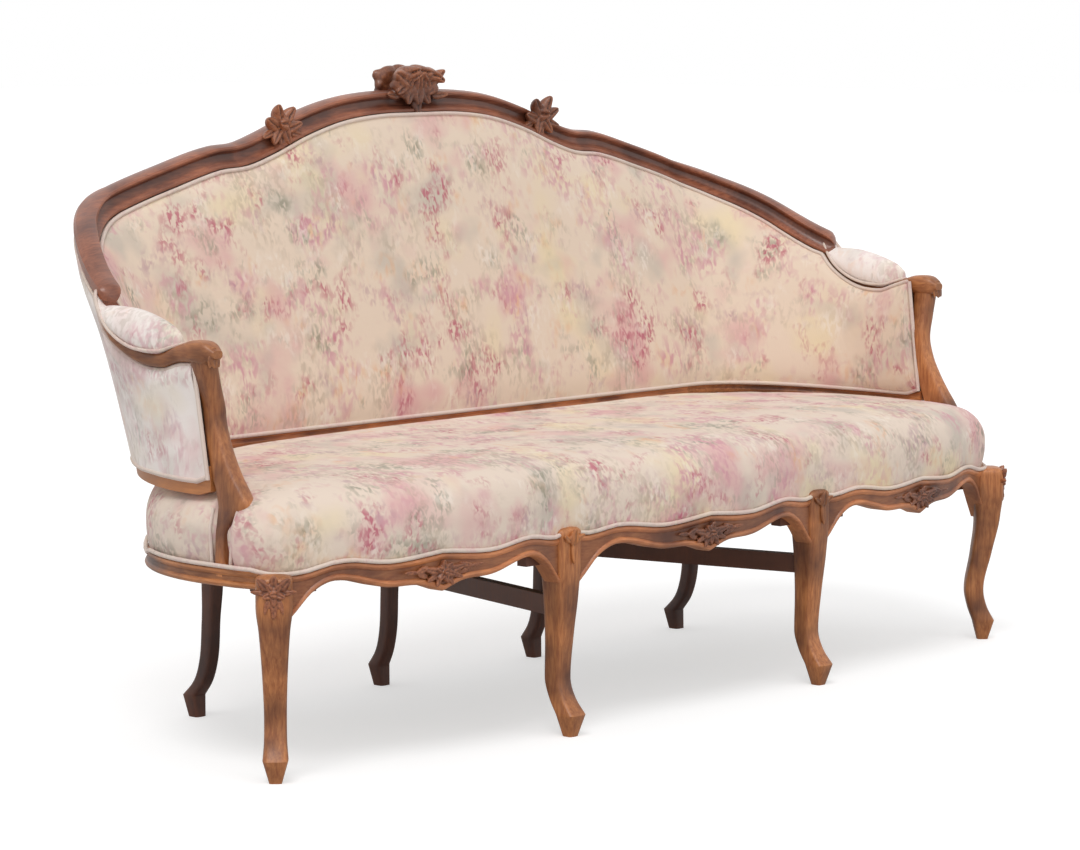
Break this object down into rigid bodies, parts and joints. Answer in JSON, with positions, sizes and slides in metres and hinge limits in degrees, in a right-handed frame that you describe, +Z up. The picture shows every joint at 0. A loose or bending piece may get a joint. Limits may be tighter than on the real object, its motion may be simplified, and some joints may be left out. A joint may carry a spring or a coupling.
{
  "type": "cabriole sofa",
  "caption": "Upholstered settee with a carved show-wood frame: arched wrap-around back, padded arms, domed seat, cabriole legs and cross stretchers.",
  "frame": {"origin": "on the floor, in the middle of the outline's width and depth", "axes": "+X to the sitter's left, which is the viewer's right, +Y to the back, +Z up"},
  "size_m": [1.898, 0.73, 1.076],
  "materials": {
    "polished_beech": "waxed walnut stain",
    "dark_beech": "dark stain",
    "floral_fabric": "printed linen",
    "plain_fabric": "printed linen",
    "stuffing": "curled hair and felt",
    "webbing": "woven jute",
    "hessian": "coarse hessian"
  },
  "bodies": {
    "root": {"arm_pad_left": "floral_fabric", "arm_pad_right": "floral_fabric", "arm_rail_left": "polished_beech", "arm_rail_right": "polished_beech", "arm_support_left": "polished_beech", "arm_support_right": "polished_beech", "back_cover": "floral_fabric", "back_outside_cover": "plain_fabric", "back_stuffing": "stuffing", "back_webbing": "webbing", "corner_blocks": "dark_beech", "cross_stretcher_left": "dark_beech", "cross_stretcher_right": "dark_beech", "front_leg_left": "polished_beech", "front_leg_mid_left": "polished_beech", "front_leg_mid_right": "polished_beech", "front_leg_right": "polished_beech", "lower_back_rail_centre": "polished_beech", "lower_back_rail_left": "polished_beech", "lower_back_rail_right": "polished_beech", "rear_leg_left": "dark_beech", "rear_leg_mid_left": "dark_beech", "rear_leg_mid_right": "dark_beech", "rear_leg_right": "dark_beech", "seat_cover": "floral_fabric", "seat_hessian": "hessian", "seat_rail_front_centre": "polished_beech", "seat_rail_front_left": "polished_beech", "seat_rail_front_right": "polished_beech", "seat_rail_rear_centre": "dark_beech", "seat_rail_rear_left": "dark_beech", "seat_rail_rear_right": "dark_beech", "seat_rail_side_left": "polished_beech", "seat_rail_side_right": "polished_beech", "seat_stuffing": "stuffing", "seat_webbing": "webbing", "top_rail_centre": "polished_beech", "top_rail_left": "polished_beech", "top_rail_right": "polished_beech", "wing_rail_left": "polished_beech", "wing_rail_right": "polished_beech"}
  },
  "joints": []
}
